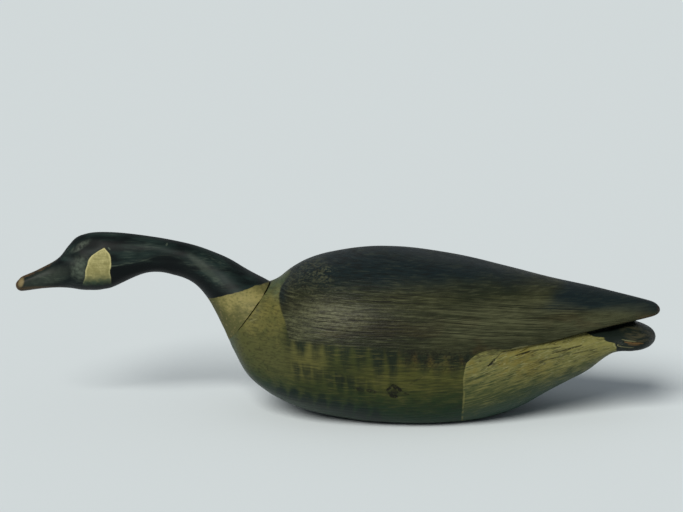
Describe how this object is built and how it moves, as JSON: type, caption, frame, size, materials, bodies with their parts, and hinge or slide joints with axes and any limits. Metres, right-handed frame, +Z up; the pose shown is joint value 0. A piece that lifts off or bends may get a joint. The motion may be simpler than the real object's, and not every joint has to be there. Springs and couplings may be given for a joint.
{
  "type": "goose decoy",
  "caption": "Carved and painted wooden goose decoy, swimming with its neck stretched out low, on a flat underside.",
  "frame": {"origin": "under the middle of the length and width, on the surface that the flat underside rests on", "axes": "+X from the bill towards the tail, +Y across the bird towards its right side, +Z up"},
  "size_m": [0.76, 0.2252, 0.2149],
  "materials": {
    "head_and_neck": "worn black paint on carved wood, satin",
    "body": "worn brown and tan paint on carved wood, satin"
  },
  "bodies": {
    "root": {"head_and_neck": "head_and_neck", "body": "body"}
  },
  "joints": []
}
